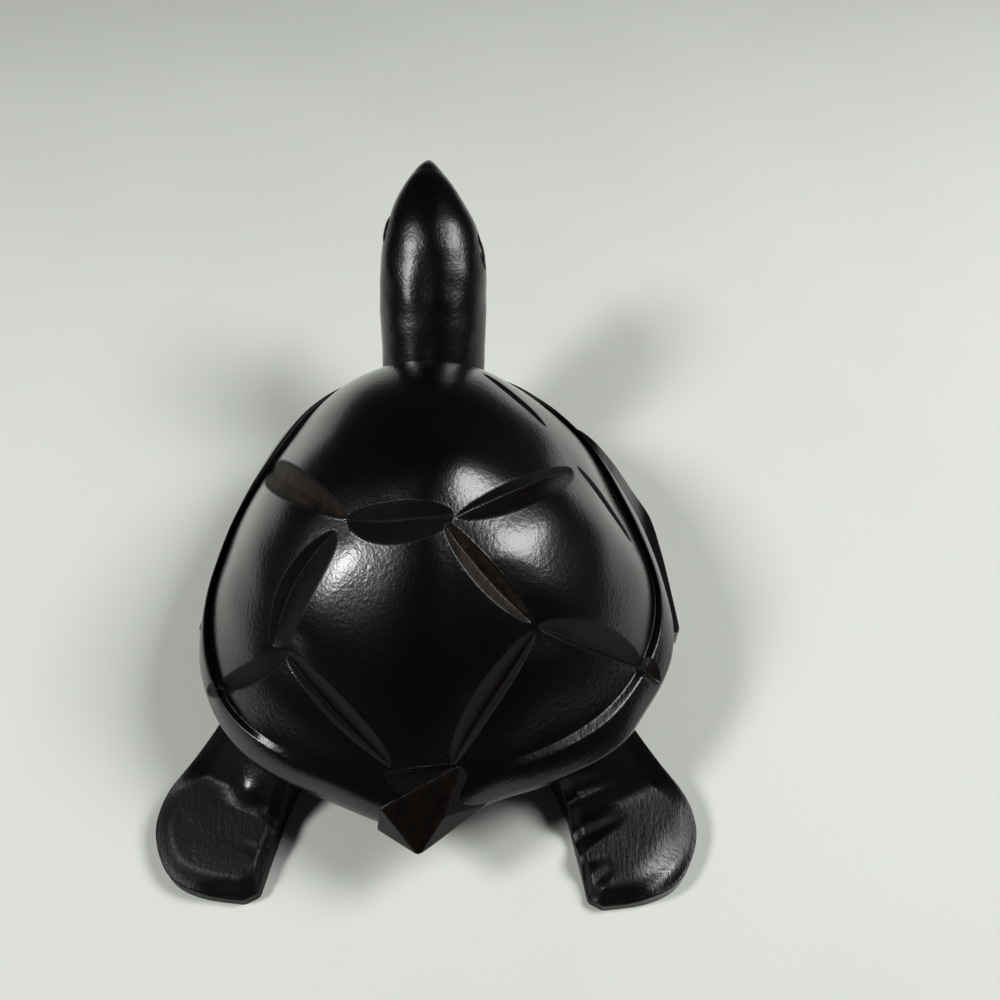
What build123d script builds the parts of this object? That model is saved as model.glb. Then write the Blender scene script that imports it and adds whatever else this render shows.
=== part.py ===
from build123d import *
import os
from math import cos, sin, tan, radians

# A carved hardwood turtle. Millimetres, +Z up, head towards -Y, the turtle's left at +X.
# It stands on its four flippers; the origin is on the table, under the middle of the whole figure.

# Shell
shell_width = 125.0
shell_length = 144.0
rim_height = 27.0
shell_pitch = 4.0
rim_edge = 1.4
margin_rise = 6.6
margin_groove_depth = 1.6
dome_rise = 46.0
dome_power = 2.45
apex_forward = 6.0
belly_depth = 16.0
belly_taper = 0.86

# Head and neck
neck_run = 59.5
neck_lift = 44.0
neck_offset = 2.6
neck_inset = 12.0
neck_seat_rise = 9.0
head_width = 31.6
head_depth = 27.6
eye_length = 9.6
eye_width = 4.8
eye_depth = 1.3
eyeball_radius = 2.1
mouth_depth = 0.9
beak_lean = 1.9

# Hind flippers
paddle_length = 42.5
paddle_width = 34.5
paddle_root_height = 26.0
hind_root_side = 36.0
hind_root_side_right = 33.8
hind_root_back = 41.0
hind_root_back_right = 42.4
hind_splay = 25.5
toe_groove_depth = 1.1

# Front flippers
front_flipper_reach = 69.4
front_flipper_length = 66.0
front_flipper_start = 61.0
front_flipper_root_height = 28.0

# Tail
tail_length = 14.4
tail_width = 25.6
tail_rise = 6.2
tail_drop = 8.6
tail_side_shift = 1.8
tail_block = 6.4
tail_block_slant = 4.2
tail_tip_side = 1.1
tail_seat_share = 0.852

# Dowels and glue room
neck_dowel_diameter = 10.0
neck_dowel_length = 34.0
flipper_dowel_diameter = 5.0
flipper_dowel_length = 14.0
shell_dowel_diameter = 8.0
shell_dowel_length = 18.0
shell_dowel_spread = 30.0
tail_dowel_diameter = 4.0
tail_dowel_length = 11.0
glue_room = 0.1
dowel_end_room = 0.4
joint_room = 0.15
neck_seam = 0.45

# Carving
groove_end_depth = 0.25
margin_notch_depth = 1.2
cut_overrun = 4.0
notch_wall_lean = 55
toe_wall_leans = (45, 62)
mouth_wall_lean = 30

# Plan outlines of the shell, as shares of its half width and half length, from the front edge
# round by the turtle's left
rim_shares = [
    (0.00, -1.00), (0.30, -0.99), (0.59, -0.865), (0.785, -0.64), (0.875, -0.42), (0.95, -0.12),
    (0.98, 0.15), (0.955, 0.37), (0.883, 0.53), (0.736, 0.70), (0.528, 0.815), (0.325, 0.885),
    (0.168, 0.94), (0.00, 0.965), (-0.144, 0.925), (-0.24, 0.882), (-0.395, 0.836), (-0.58, 0.775),
    (-0.75, 0.685), (-0.87, 0.55), (-0.97, 0.40), (-1.008, 0.26), (-0.995, 0.08), (-0.945, -0.146),
    (-0.815, -0.45), (-0.685, -0.655), (-0.52, -0.825), (-0.29, -0.965)]
foot_shares = [
    (0.00, -0.96), (0.224, -0.955), (0.416, -0.90), (0.584, -0.785), (0.73, -0.55), (0.856, -0.278),
    (0.92, -0.02), (0.932, 0.19), (0.90, 0.345), (0.808, 0.528), (0.674, 0.653), (0.50, 0.748),
    (0.29, 0.83), (0.12, 0.865), (-0.02, 0.865), (-0.128, 0.84), (-0.24, 0.797), (-0.40, 0.74),
    (-0.594, 0.65), (-0.76, 0.522), (-0.87, 0.365), (-0.933, 0.129), (-0.89, -0.085), (-0.81, -0.296),
    (-0.70, -0.54), (-0.544, -0.729), (-0.40, -0.84), (-0.208, -0.93)]
dome_ring_shares = [1.0, 0.96, 0.88, 0.76, 0.60, 0.42, 0.24, 0.08]

# Grooves between the scutes. Each is start, middle and end, as a share of the way round the foot of
# the dome and of the way out from its top, then the depth at the middle as a share of the deepest,
# and how far each wall leans from the upright, in degrees.
deepest_groove = 2.8
scute_groove_shares = [
    ((0.367, 0.37), (0.454, 0.28), (0.571, 0.28), 0.85, 64, 66),
    ((0.352, 0.38), (0.268, 0.52), (0.186, 0.87), 0.60, 60, 62),
    ((0.579, 0.29), (0.703, 0.37), (0.796, 0.67), 0.70, 45, 70),
    ((0.360, 0.43), (0.377, 0.62), (0.378, 0.78), 1.00, 62, 56),
    ((0.552, 0.31), (0.587, 0.51), (0.608, 0.69), 0.80, 50, 52),
    ((0.392, 0.78), (0.370, 0.90), (0.352, 0.995), 0.70, 60, 45),
    ((0.391, 0.78), (0.442, 0.865), (0.483, 0.94), 0.75, 70, 35),
    ((0.613, 0.71), (0.642, 0.865), (0.672, 0.995), 0.85, 35, 70),
    ((0.604, 0.72), (0.560, 0.845), (0.527, 0.94), 0.95, 72, 35),
    ((0.482, 0.96), (0.504, 0.955), (0.525, 0.95), 0.80, 60, 60),
    ((0.954, 0.80), (0.902, 0.69), (0.857, 0.68), 0.30, 50, 50),
    ((0.803, 0.72), (0.777, 0.82), (0.755, 0.90), 0.55, 55, 55)]
# Where a groove runs out over the rim: the share of the way round, and how far out the rim is there
margin_notch_shares = [(0.350, 1.07), (0.671, 1.12)]

# The belly block's outline, as shares of the shell's half width and half length
belly_shares = [
    (0.20, -0.90), (0.52, -0.74), (0.74, -0.36), (0.75, 0.22), (0.72, 0.40), (0.35, 0.73), (0.22, 0.88)]
front_seat_shares = belly_shares[1:3]
hind_seat_shares = belly_shares[4:6]
front_dowel_height_share = 0.74
hind_dowel_height_share = 0.66

# The middle line of the head and neck as shares of the way from the seat to the beak, forward and up,
# and of the beak's lean to the left, then the half width and half depth there as shares of the head's
spine_shares = [
    (0.00, 0.00, 0.0, 0.93, 1.03), (0.10, 0.155, 0.0, 0.93, 1.03), (0.27, 0.405, 0.0, 0.99, 1.03),
    (0.44, 0.64, 0.0, 1.00, 1.01), (0.575, 0.80, 0.15, 0.90, 0.94), (0.71, 0.905, 0.6, 0.66, 0.72),
    (0.85, 0.965, 0.9, 0.38, 0.44), (0.95, 0.99, 1.0, 0.17, 0.20), (1.00, 1.00, 1.0, 0.04, 0.05)]
eye_place_shares = {"left": 0.585, "right": 0.50}
mouth_start_share = 0.66
mouth_drop_shares = (0.30, 0.05)

# A hind flipper's outline seen from above, as shares of its length and width, from the root outwards
paddle_shares = [
    (-0.03, 0.36), (0.105, 0.45), (0.315, 0.555), (0.55, 0.655), (0.74, 0.62), (0.875, 0.49),
    (0.97, 0.29), (0.97, 0.05), (0.895, -0.25)]
paddle_corner_share = (0.82, -0.32)
paddle_inner_shares = [(0.65, -0.265), (0.32, -0.175), (0.10, -0.20), (-0.05, -0.33)]
paddle_root_shares = [(-0.33, -0.25), (-0.33, 0.40)]
paddle_top_shares = [(-0.35, 1.08), (0.0, 0.93), (0.24, 0.60), (0.50, 0.32), (0.78, 0.205), (1.05, 0.165)]
paddle_under_shares = [(0.45, 0.0), (0.20, 0.10), (0.0, 0.32), (-0.35, 0.45)]
toe_groove_shares = [
    ((0.40, -0.20), (0.27, 0.16)), ((0.57, -0.25), (0.44, 0.12)), ((0.75, -0.32), (0.62, 0.03))]

# A front flipper's outline from above, as shares of its length back from its start and of its reach
front_outer_shares = [
    (0.06, 0.60), (0.13, 0.72), (0.22, 0.83), (0.34, 0.925), (0.56, 0.965), (0.80, 0.987), (0.97, 1.0)]
front_tip_shares = [(1.00, 0.985), (1.02, 0.90)]
front_inner_shares = [(0.88, 0.862), (0.68, 0.80), (0.52, 0.70), (0.44, 0.50)]
front_root_share = (0.13, 0.43)
front_top_shares = [(0.40, 1.0), (0.62, 0.91), (0.75, 0.66), (0.865, 0.34), (0.94, 0.215), (1.03, 0.17)]
front_under_shares = [(0.795, 0.0), (0.72, 0.22), (0.62, 0.43), (0.40, 0.54)]

half_width = shell_width / 2
half_length = shell_length / 2
pitch = radians(shell_pitch)
ground_level = 0.0
shell_frame = Plane(origin=(0, 0, rim_height), x_dir=(1, 0, 0), z_dir=(0, sin(pitch), cos(pitch)))
valley_height = margin_rise - margin_groove_depth
tail_seat_back = half_length * tail_seat_share


def shell_point(x, y, z):
    """A place given in the shell's own pitched frame, turned to the figure's frame."""
    return shell_frame.from_local_coords(Vector(x, y, z))


def plan_points(shares):
    return [Vector(x * half_width, y * half_length) for x, y in shares]


rim_line = Edge.make_spline(plan_points(rim_shares), periodic=True)
foot_line = Edge.make_spline(plan_points(foot_shares), periodic=True)
apex = Vector(0, -apex_forward)


def ring(line_points, height, share=1.0, centre=apex):
    """A flat closed face whose outline is the given one, shrunk towards a centre."""
    points = [centre + (point - centre) * share for point in line_points]
    outline = Edge.make_spline(points, periodic=True)
    return shell_frame.offset(height) * Face(Wire([outline]))


def dome_height(share):
    """Height of the dome above the rim plane, at a share of the way from its top to its foot."""
    return valley_height + (dome_rise - valley_height) * (1 - share ** dome_power)


def dome_point(turn, share):
    place = apex + (foot_line.position_at(turn % 1) - apex) * share
    return shell_point(place.X, place.Y, dome_height(share))


def dome_normal(turn, share):
    step = 0.01
    inner = max(share - step, step)
    along = dome_point(turn + step, share) - dome_point(turn - step, share)
    outward = dome_point(turn, min(share + step, 1)) - dome_point(turn, inner)
    normal = outward.cross(along).normalized()
    return normal if normal.Z > 0 else normal * -1


def vee_cut(start, end, up, left_lean, right_lean, reach, before=0.0, after=0.0):
    """A wedge whose edge runs from start to end, open towards up, for one straight gouge stroke."""
    along = (end - start).normalized()
    up = (up - along * up.dot(along)).normalized()
    frame = Plane(origin=start - along * before, x_dir=up.cross(along), z_dir=along)
    left = (-reach * tan(radians(left_lean)), reach)
    right = (reach * tan(radians(right_lean)), reach)
    section = frame * Face(Wire.make_polygon([(0, 0), left, right], close=True))
    return Solid.extrude(section, along * ((end - start).length + before + after))


def scute_groove(start, middle, end, depth_share, left_lean, right_lean):
    """Two strokes that meet at the middle of a groove and run out at its ends."""
    depth = deepest_groove * depth_share
    up = dome_normal(*middle)
    a = dome_point(*start) - dome_normal(*start) * groove_end_depth
    m = dome_point(*middle) - up * depth
    b = dome_point(*end) - dome_normal(*end) * groove_end_depth
    reach = deepest_groove * 3
    first = vee_cut(a, m, up, left_lean, right_lean, reach, before=cut_overrun)
    second = vee_cut(m, b, up, left_lean, right_lean, reach, after=cut_overrun)
    return [first, second]


def margin_notch(turn, reach_share):
    """A stroke across the margin, where a groove runs out over the rim."""
    foot = foot_line.position_at(turn)
    rim = apex + (foot - apex) * reach_share
    outward = shell_point(rim.X, rim.Y, 0) - shell_point(foot.X, foot.Y, 0)
    up = outward.normalized() + shell_frame.z_dir
    start = shell_point(foot.X, foot.Y, margin_rise - margin_notch_depth)
    end = shell_point(rim.X, rim.Y, rim_edge - margin_notch_depth)
    return vee_cut(start, end, up, notch_wall_lean, notch_wall_lean, margin_notch_depth * 3,
                   after=cut_overrun)


def dowel(centre, direction, diameter, length):
    frame = Plane(origin=centre - direction * (length / 2), z_dir=direction)
    return Solid.make_cylinder(diameter / 2, length, frame)


def dowel_hole(centre, direction, diameter, length):
    return dowel(centre, direction, diameter + 2 * glue_room, length + 2 * dowel_end_room)


def make_carapace():
    rim = spread(rim_line)
    foot = spread(foot_line)
    crest = [(r + f * 2) * (1 / 3) for r, f in zip(rim, foot)]
    edge = loft([ring(rim, 0), ring(rim, rim_edge)], ruled=True)
    margin = loft([ring(rim, rim_edge), ring(crest, margin_rise)], ruled=True)
    valley = loft([ring(foot, valley_height), ring(crest, margin_rise)], ruled=True)
    dome = loft([ring(foot, dome_height(share), share) for share in dome_ring_shares])
    return (edge + margin - valley + dome).clean()


def spread(line):
    """Even places round an outline, so that two outlines pair up point by point."""
    count = len(rim_shares)
    return [line.position_at(index / count) for index in range(count)]


def belly_outline(share, height):
    left = [Vector(x * half_width, y * half_length) * share for x, y in belly_shares]
    right = [Vector(-point.X, point.Y) for point in reversed(left)]
    return shell_frame.offset(height) * Face(Wire.make_polygon(left + right, close=True))


def make_belly():
    return loft([belly_outline(belly_taper, -belly_depth), belly_outline(1, 0)], ruled=True)


neck_seat_reach = half_length - neck_inset
neck_seat_height = rim_height + neck_seat_rise


def spine_place(forward, up, lean):
    return Vector(neck_offset + beak_lean * lean, -neck_seat_reach - neck_run * forward,
                  neck_seat_height + neck_lift * up)


spine = [spine_place(forward, up, lean) for forward, up, lean, _, _ in spine_shares]
neck_axis = (spine[1] - spine[0]).normalized()
neck_seat = Plane(origin=spine[0], x_dir=(1, 0, 0), z_dir=neck_axis)


def make_head_and_neck():
    sections = []
    last = len(spine) - 1
    for index, (_, _, _, width_share, depth_share) in enumerate(spine_shares):
        behind = spine[max(index - 1, 0)]
        ahead = spine[min(index + 1, last)]
        heading = (ahead - behind).normalized() if index else neck_axis
        frame = Plane(origin=spine[index], x_dir=(1, 0, 0), z_dir=heading)
        oval = Edge.make_ellipse(head_width / 2 * width_share, head_depth / 2 * depth_share)
        sections.append(frame * Face(Wire([oval])))
    body = loft(sections)
    for side, name in ((1, "left"), (-1, "right")):
        body = body - eye_socket(side, eye_place_shares[name])
        body = body - mouth_stroke(side)
        body = body + eyeball(side, eye_place_shares[name])
    return body


def along_spine(forward):
    """Place, heading and half width of the head at a share of the way to the beak."""
    for low, high in zip(spine_shares, spine_shares[1:]):
        if low[0] <= forward <= high[0]:
            part = (forward - low[0]) / (high[0] - low[0])
            a = spine_place(*low[:3])
            b = spine_place(*high[:3])
            half = head_width / 2 * (low[3] + (high[3] - low[3]) * part)
            return a + (b - a) * part, (b - a).normalized(), half


def eye_frame(side, forward, inset):
    place, heading, half = along_spine(forward)
    origin = place + Vector(side * (half - inset), 0, 0)
    return Plane(origin=origin, x_dir=heading, z_dir=(side, 0, 0))


def eye_socket(side, forward):
    """An almond, which is where two round discs overlap, sunk into the side of the head."""
    frame = eye_frame(side, forward, eye_depth)
    rise = eye_width / 2
    radius = (eye_length ** 2 / 4 + rise ** 2) / (2 * rise)
    upper = Circle(radius).moved(Location((0, rise - radius, 0)))
    lower = Circle(radius).moved(Location((0, radius - rise, 0)))
    almond = (upper & lower).face()
    return Solid.extrude(frame * almond, Vector(side * head_width / 2, 0, 0))


def eyeball(side, forward):
    frame = eye_frame(side, forward, eye_depth + eyeball_radius / 2)
    return Solid.make_sphere(eyeball_radius, frame)


def mouth_stroke(side):
    back, _, half = along_spine(mouth_start_share)
    start_drop, end_drop = [head_depth / 2 * share for share in mouth_drop_shares]
    start = back + Vector(side * (half - mouth_depth), 0, -start_drop)
    end = spine[-1] + Vector(0, 0, -end_drop)
    return vee_cut(start, end, Vector(side, 0, 0), mouth_wall_lean, mouth_wall_lean, mouth_depth * 4,
                   after=cut_overrun)


def make_hind_flipper(side):
    root_side = hind_root_side if side > 0 else hind_root_side_right
    root_back = hind_root_back if side > 0 else hind_root_back_right
    heading = Vector(side * sin(radians(hind_splay)), cos(radians(hind_splay)))
    outward = Vector(side * cos(radians(hind_splay)), -sin(radians(hind_splay)))
    root = Vector(side * root_side, root_back)

    def place(share):
        return root + heading * (share[0] * paddle_length) + outward * (share[1] * paddle_width)

    outer = Edge.make_spline([place(share) for share in paddle_shares])
    tip = Edge.make_line(place(paddle_shares[-1]), place(paddle_corner_share))
    inner_points = [place(share) for share in paddle_inner_shares]
    inner_start = Edge.make_line(place(paddle_corner_share), inner_points[0])
    inner = Edge.make_spline(inner_points)
    roots = [place(share) for share in paddle_root_shares]
    closing = [Edge.make_line(inner_points[-1], roots[0]), Edge.make_line(roots[0], roots[1]),
               Edge.make_line(roots[1], place(paddle_shares[0]))]
    plan = Face(Wire([outer, tip, inner_start, inner] + closing))
    blank = Solid.extrude(plan, Vector(0, 0, paddle_root_height * 1.2))
    slab = side_slab(root - outward * paddle_width, heading, outward * (paddle_width * 2.4),
                     paddle_top_shares, paddle_under_shares, paddle_length, paddle_root_height)
    flipper = blank & slab
    for near, far in toe_groove_shares:
        flipper = flipper - toe_cut(place(near), place(far), paddle_top(near[0]), paddle_top(far[0]))
    return flipper


def paddle_top(along):
    """Height of a hind flipper's top, at a share of its length."""
    for low, high in zip(paddle_top_shares, paddle_top_shares[1:]):
        if low[0] <= along <= high[0]:
            part = (along - low[0]) / (high[0] - low[0])
            return paddle_root_height * (low[1] + (high[1] - low[1]) * part)


def side_slab(origin, heading, sweep, top_shares, under_shares, length, height):
    """A slab whose side view is the given one, swept wide enough to hold a whole flipper."""

    def place(share):
        return origin + heading * (share[0] * length) + Vector(0, 0, share[1] * height)

    top_end = place(top_shares[-1])
    low_end = Vector(top_end.X, top_end.Y, ground_level)
    edges = [Edge.make_spline([place(share) for share in top_shares]),
             Edge.make_line(top_end, low_end),
             Edge.make_line(low_end, place(under_shares[0])),
             Edge.make_spline([place(share) for share in under_shares]),
             Edge.make_line(place(under_shares[-1]), place(top_shares[0]))]
    return Solid.extrude(Face(Wire(edges)), sweep)


def toe_cut(near, far, near_level, far_level):
    """A stroke across the top of a paddle, deep at its edge and running out inwards."""
    start = Vector(near.X, near.Y, near_level - toe_groove_depth)
    end = Vector(far.X, far.Y, far_level)
    return vee_cut(start, end, Vector(0, 0, 1), *toe_wall_leans, toe_groove_depth * 3, before=cut_overrun)


def make_front_flipper(side):
    def place(share):
        back, out = share
        return Vector(side * out * front_flipper_reach, -front_flipper_start + back * front_flipper_length)

    outer = Edge.make_spline([place(share) for share in front_outer_shares])
    corners = [place(front_outer_shares[-1])] + [place(share) for share in front_tip_shares]
    corners.append(place(front_inner_shares[0]))
    tip = [Edge.make_line(a, b) for a, b in zip(corners, corners[1:])]
    inner = Edge.make_spline([place(share) for share in front_inner_shares])
    root = place(front_root_share)
    closing = [Edge.make_line(place(front_inner_shares[-1]), root),
               Edge.make_line(root, place(front_outer_shares[0]))]
    plan = Face(Wire([outer] + tip + [inner] + closing))
    blank = Solid.extrude(plan, Vector(0, 0, front_flipper_root_height * 1.2))
    slab = side_slab(Vector(0, -front_flipper_start - cut_overrun), Vector(side, 0),
                     Vector(0, front_flipper_length * 1.3), front_top_shares, front_under_shares,
                     front_flipper_reach, front_flipper_root_height)
    return blank & slab


def make_tail():
    """A faceted wedge: a six-sided block let into the shell, then drawn to a point past the rim."""
    left = tail_width / 2 - tail_side_shift - joint_room
    right = -tail_width / 2 - tail_side_shift + joint_room
    section = [(left, 0), (left * 0.1, tail_rise), (right * 0.35, tail_rise), (right, 0),
               (right * 0.5, -tail_drop), (left * 0.5, -tail_drop)]
    slope = tail_block_slant / tail_width
    seat = [shell_point(x, tail_seat_back, z) for x, z in section]
    rim_end = [shell_point(x, tail_seat_back + tail_block + x * slope, z) for x, z in section]
    tip = shell_point(tail_tip_side, tail_seat_back + tail_length, 0)
    faces = [Face(Wire.make_polygon(seat, close=True))]
    for index in range(len(section)):
        after = (index + 1) % len(section)
        corners = [seat[index], seat[after], rim_end[after], rim_end[index]]
        faces.append(Face(Wire.make_polygon(corners, close=True)))
        faces.append(Face(Wire.make_polygon([rim_end[index], rim_end[after], tip], close=True)))
    return Solid(Shell(faces))


def tail_notch():
    """The flat seat behind the shell where the tail is let in."""
    corner = shell_point(-tail_side_shift - tail_width / 2, tail_seat_back, -belly_depth - cut_overrun)
    frame = Plane(origin=corner, x_dir=shell_frame.x_dir, z_dir=shell_frame.z_dir)
    return Solid.make_box(tail_width, half_length, dome_rise, frame)


def neck_hole():
    """The round socket that the neck stands in, with an open seam round the neck."""
    width_share, depth_share = spine_shares[0][3:]
    half_wide = head_width / 2 * width_share + neck_seam
    half_deep = head_depth / 2 * depth_share + neck_seam
    mouth = neck_seat * Face(Wire([Edge.make_ellipse(half_wide, half_deep)]))
    return Solid.extrude(mouth, neck_axis * neck_run)


def seat_spot(corner_shares, side, height):
    """Middle of one flat side of the belly block, and the way that side faces."""
    a, b = plan_points(corner_shares)
    shrink = 1 + (1 - belly_taper) * height / belly_depth
    middle = (a + b) * 0.5 * shrink
    run = (b - a).normalized()
    spot = shell_point(side * middle.X, middle.Y, height)
    facing = shell_point(side * run.Y, -run.X, 0) - shell_point(0, 0, 0)
    return spot, facing


carapace = make_carapace()
for groove in scute_groove_shares:
    for stroke in scute_groove(*groove):
        carapace = carapace - stroke
for notch in margin_notch_shares:
    carapace = carapace - margin_notch(*notch)
plastron = make_belly()
head_and_neck = make_head_and_neck()
tail = make_tail()

# Seats cut in the shell and the belly block for the neck and the tail
for hollow in (neck_hole(), tail_notch()):
    carapace = carapace - hollow
    plastron = plastron - hollow

# Flippers, coped to the flat sides of the belly block and to the flat underside of the shell
shell_side = Plane(origin=shell_point(-shell_width, -shell_length, 0), x_dir=shell_frame.x_dir,
                   z_dir=shell_frame.z_dir)
above_rim = Solid.make_box(shell_width * 2, shell_length * 2, dome_rise, shell_side)
block = make_belly()
flippers = {}
for side, name in ((1, "left"), (-1, "right")):
    flippers[f"front_flipper_{name}"] = make_front_flipper(side) - block - above_rim
    flippers[f"hind_flipper_{name}"] = make_hind_flipper(side) - block - above_rim

# Dowels, each in a blind hole shared by the two pieces that it joins
dowels = {"neck_dowel": (spine[0], neck_axis, neck_dowel_diameter, neck_dowel_length),
          "tail_dowel": (shell_point(-tail_side_shift, tail_seat_back, -tail_drop * 0.3),
                         shell_frame.y_dir, tail_dowel_diameter, tail_dowel_length)}
for end, name in ((-1, "front"), (1, "rear")):
    dowels[f"shell_dowel_{name}"] = (shell_point(0, end * shell_dowel_spread, 0), shell_frame.z_dir,
                                     shell_dowel_diameter, shell_dowel_length)
for side, name in ((1, "left"), (-1, "right")):
    for kind, corner_shares, height_share in (("front", front_seat_shares, front_dowel_height_share),
                                              ("hind", hind_seat_shares, hind_dowel_height_share)):
        spot, facing = seat_spot(corner_shares, side, -belly_depth * height_share)
        dowels[f"{kind}_flipper_dowel_{name}"] = (spot, facing, flipper_dowel_diameter,
                                                  flipper_dowel_length)
joined = {"carapace": carapace, "plastron": plastron, "head_and_neck": head_and_neck, "tail": tail}
joined.update(flippers)
holders = {"neck_dowel": ("carapace", "plastron", "head_and_neck"), "tail_dowel": ("plastron", "tail"),
           "shell_dowel_front": ("carapace", "plastron"), "shell_dowel_rear": ("carapace", "plastron")}
for name in ("left", "right"):
    for kind in ("front", "hind"):
        holders[f"{kind}_flipper_dowel_{name}"] = ("plastron", f"{kind}_flipper_{name}")
for name, held_in in holders.items():
    for node in held_in:
        joined[node] = joined[node] - dowel_hole(*dowels[name])
parts = dict(joined)
parts.update({name: dowel(*place) for name, place in dowels.items()})

# The origin goes under the middle of the whole figure
boxes = [solid.bounding_box() for solid in parts.values()]
middle_x = (min(box.min.X for box in boxes) + max(box.max.X for box in boxes)) / 2
middle_y = (min(box.min.Y for box in boxes) + max(box.max.Y for box in boxes)) / 2
os.makedirs("parts", exist_ok=True)
for name, solid in parts.items():
    export_step(Pos(-middle_x, -middle_y, 0) * solid, f"parts/{name}.step")
print("moved by", -middle_x, -middle_y)
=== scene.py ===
from math import cos, pi, radians, sin, tan

import bmesh
import bpy
import numpy as np
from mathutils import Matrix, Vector


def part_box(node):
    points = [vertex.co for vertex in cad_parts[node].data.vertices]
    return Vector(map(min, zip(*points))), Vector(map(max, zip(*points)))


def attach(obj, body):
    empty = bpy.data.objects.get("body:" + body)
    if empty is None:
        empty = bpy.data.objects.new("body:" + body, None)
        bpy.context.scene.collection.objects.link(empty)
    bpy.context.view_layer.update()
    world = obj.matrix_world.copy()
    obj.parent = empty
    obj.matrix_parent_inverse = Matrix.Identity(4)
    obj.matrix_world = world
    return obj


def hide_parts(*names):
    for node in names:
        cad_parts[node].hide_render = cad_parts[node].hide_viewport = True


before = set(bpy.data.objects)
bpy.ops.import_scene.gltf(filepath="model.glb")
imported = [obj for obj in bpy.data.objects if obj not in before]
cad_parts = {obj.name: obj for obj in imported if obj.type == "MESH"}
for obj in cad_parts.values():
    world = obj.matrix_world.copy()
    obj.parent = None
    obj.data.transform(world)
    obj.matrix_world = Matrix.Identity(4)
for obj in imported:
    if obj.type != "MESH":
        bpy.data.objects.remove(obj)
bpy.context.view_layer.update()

# A carved sea turtle in dark polished hardwood. Sizes are in millimetres, in the figure's own frame
# with the shell's middle at y = 0, and places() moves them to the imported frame, in metres.
metre = 0.001
tiny = 1e-9

# Shell
shell_width = 125.0
shell_length = 144.0
rim_height = 27.0
shell_pitch = radians(4.0)
rim_edge = 1.4
margin_rise = 6.6
valley_height = 5.0
dome_rise = 46.0
dome_power = 2.45
apex = np.array([0.0, -6.0])

# The margin's section: shares of the way from the foot of the dome to the rim, and heights
crest_share = 1 / 3
crest_fall_inside = 0.45
crest_fall_outside = 0.75
slope_height = 4.1
rim_swell = 0.75
margin_section = [
    (0, valley_height), (0.05, valley_height), (0.20, margin_rise - crest_fall_inside),
    (crest_share, margin_rise), (0.46, margin_rise - crest_fall_outside), (0.70, slope_height),
    (0.93, rim_edge + rim_swell), (1.0, rim_edge), (1.0, rim_edge / 2), (0.985, 0.0)]

# Outlines of the rim and of the foot of the dome, as shares of half the width and half the length
rim_shares = [
    (0.00, -1.00), (0.30, -0.99), (0.59, -0.865), (0.785, -0.64), (0.875, -0.42), (0.95, -0.12),
    (0.98, 0.15), (0.955, 0.37), (0.883, 0.53), (0.736, 0.70), (0.528, 0.815), (0.325, 0.885),
    (0.168, 0.94), (0.00, 0.965), (-0.144, 0.925), (-0.24, 0.882), (-0.395, 0.836), (-0.58, 0.775),
    (-0.75, 0.685), (-0.87, 0.55), (-0.97, 0.40), (-1.008, 0.26), (-0.995, 0.08), (-0.945, -0.146),
    (-0.815, -0.45), (-0.685, -0.655), (-0.52, -0.825), (-0.29, -0.965)]
foot_shares = [
    (0.00, -0.96), (0.224, -0.955), (0.416, -0.90), (0.584, -0.785), (0.73, -0.55), (0.856, -0.278),
    (0.92, -0.02), (0.932, 0.19), (0.90, 0.345), (0.808, 0.528), (0.674, 0.653), (0.50, 0.748),
    (0.29, 0.83), (0.12, 0.865), (-0.02, 0.865), (-0.128, 0.84), (-0.24, 0.797), (-0.40, 0.74),
    (-0.594, 0.65), (-0.76, 0.522), (-0.87, 0.365), (-0.933, 0.129), (-0.89, -0.085), (-0.81, -0.296),
    (-0.70, -0.54), (-0.544, -0.729), (-0.40, -0.84), (-0.208, -0.93)]

# The camera of the photograph, which looks down on the turtle from behind
camera_side = -17.5
camera_back = 160.0
camera_height = 250.0
camera_pitch = radians(50.0)
sensor_width = 36.0
camera_lens = 36.0
image_size = 1000

dowel_low, dowel_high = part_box("neck_dowel")
neck_inset = 12.0
neck_seat_reach = shell_length / 2 - neck_inset
row_shift = (dowel_low.y + dowel_high.y) / 2 / metre + neck_seat_reach


def places(points):
    """Points of the figure's own frame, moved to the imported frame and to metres."""
    return (np.asarray(points, float) + [0, row_shift, 0]) * metre


def from_shell(points):
    """Points given in the shell's pitched frame, turned to the figure's frame."""
    x, y, z = np.moveaxis(np.asarray(points, float), -1, 0)
    return np.stack([x, y * cos(shell_pitch) + z * sin(shell_pitch),
                     rim_height - y * sin(shell_pitch) + z * cos(shell_pitch)], -1)


# Steps that a curve takes from one of its points to the next
curve_steps = 60
edge_steps = 24
height_steps = 16
section_steps = 8


def closed_curve(points, count):
    """A smooth closed curve through points, as count places evenly spaced along it."""
    p = np.array(points, float)
    ahead = np.roll(p, -1, 0)
    gap = np.linalg.norm(ahead - p, axis=1)
    before = np.roll(gap, 1)
    size = len(p)
    matrix = np.zeros((size, size))
    for i in range(size):
        matrix[i, i - 1] += before[i]
        matrix[i, i] += 2 * (before[i] + gap[i])
        matrix[i, (i + 1) % size] += gap[i]
    slope = (ahead - p) / gap[:, None]
    bend = np.linalg.solve(matrix, 6 * (slope - np.roll(slope, 1, 0)))
    t = np.linspace(0, 1, curve_steps, endpoint=False)[None, :, None]
    square = gap[:, None, None] ** 2 / 6
    fine = (p[:, None] * (1 - t) + ahead[:, None] * t + square * ((1 - t) ** 3 - (1 - t)) * bend[:, None]
            + square * (t ** 3 - t) * np.roll(bend, -1, 0)[:, None])
    return even(fine.reshape(-1, p.shape[1]), count, True)


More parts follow.
